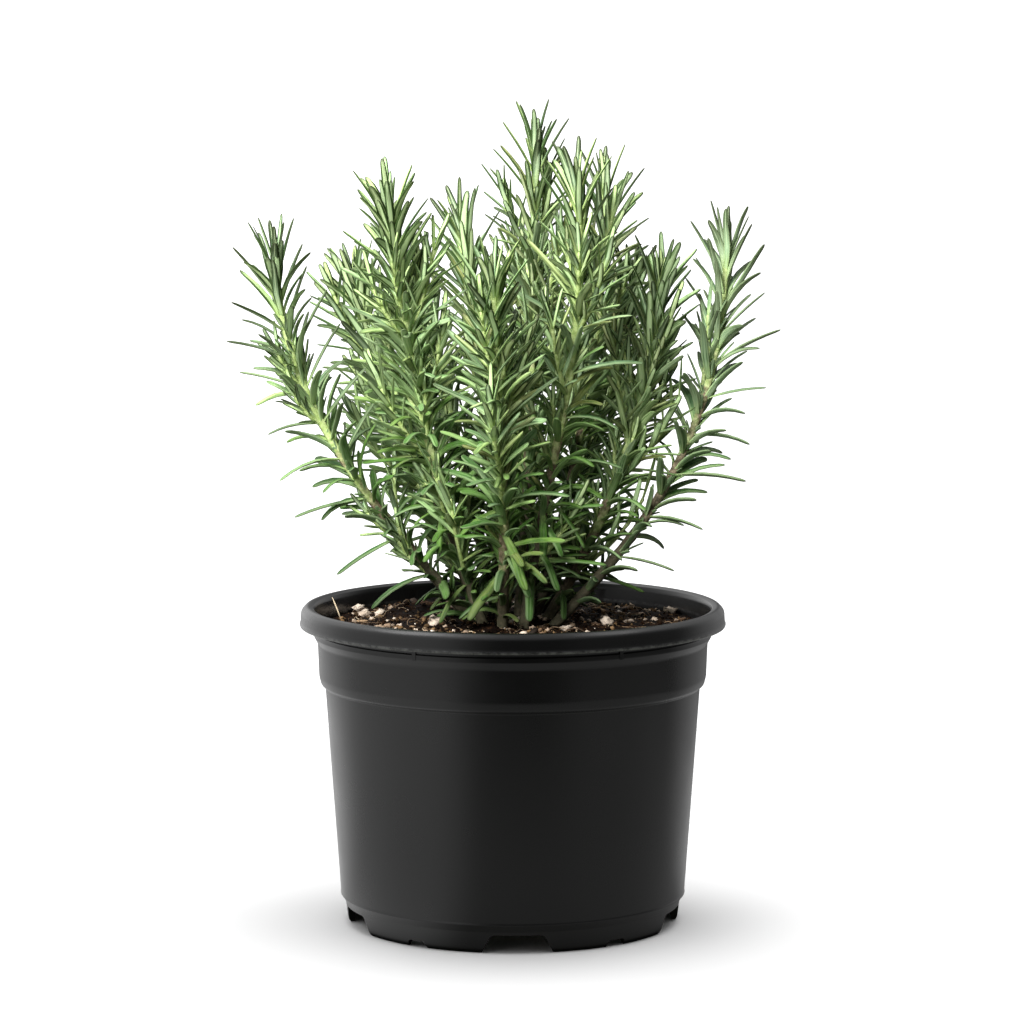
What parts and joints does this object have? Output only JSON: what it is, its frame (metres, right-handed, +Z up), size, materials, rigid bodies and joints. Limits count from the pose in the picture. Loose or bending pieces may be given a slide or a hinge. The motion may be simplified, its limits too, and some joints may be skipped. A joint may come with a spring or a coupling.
{
  "type": "potted rosemary",
  "caption": "Upright narrow-leaved herb without flowers, standing in the soil of a tapered plastic nursery pot with a rolled rim and a notched foot.",
  "frame": {"origin": "centre of the pot's foot, on the surface that the pot stands on", "axes": "+Z up along the pot's axis, -Y towards the front, where a wide foot notch is near the middle, +X to the right"},
  "size_m": [0.2116, 0.1672, 0.318],
  "materials": {
    "pot_plastic": "satin black, moulded, with a slightly shinier rim",
    "potting_soil": "dark, damp and crumbly, with pale grains and bits of bark",
    "foliage": "leathery leaves, dark green above with paler edges and undersides, on yellow-green stems that turn brown below"
  },
  "bodies": {
    "root": {"pot": "pot_plastic", "soil": "potting_soil", "leafy_stem_far_left": "foliage", "leafy_stem_left_front": "foliage", "leafy_stem_left_back": "foliage", "leafy_stem_mid_left": "foliage", "leafy_stem_mid_front": "foliage", "leafy_stem_tall": "foliage", "leafy_stem_right_front": "foliage", "leafy_stem_right_back": "foliage", "leafy_stem_right": "foliage", "leafy_stem_far_right": "foliage", "leafy_stem_back_left": "foliage", "leafy_stem_back": "foliage", "leafy_stem_back_right": "foliage"}
  },
  "joints": []
}
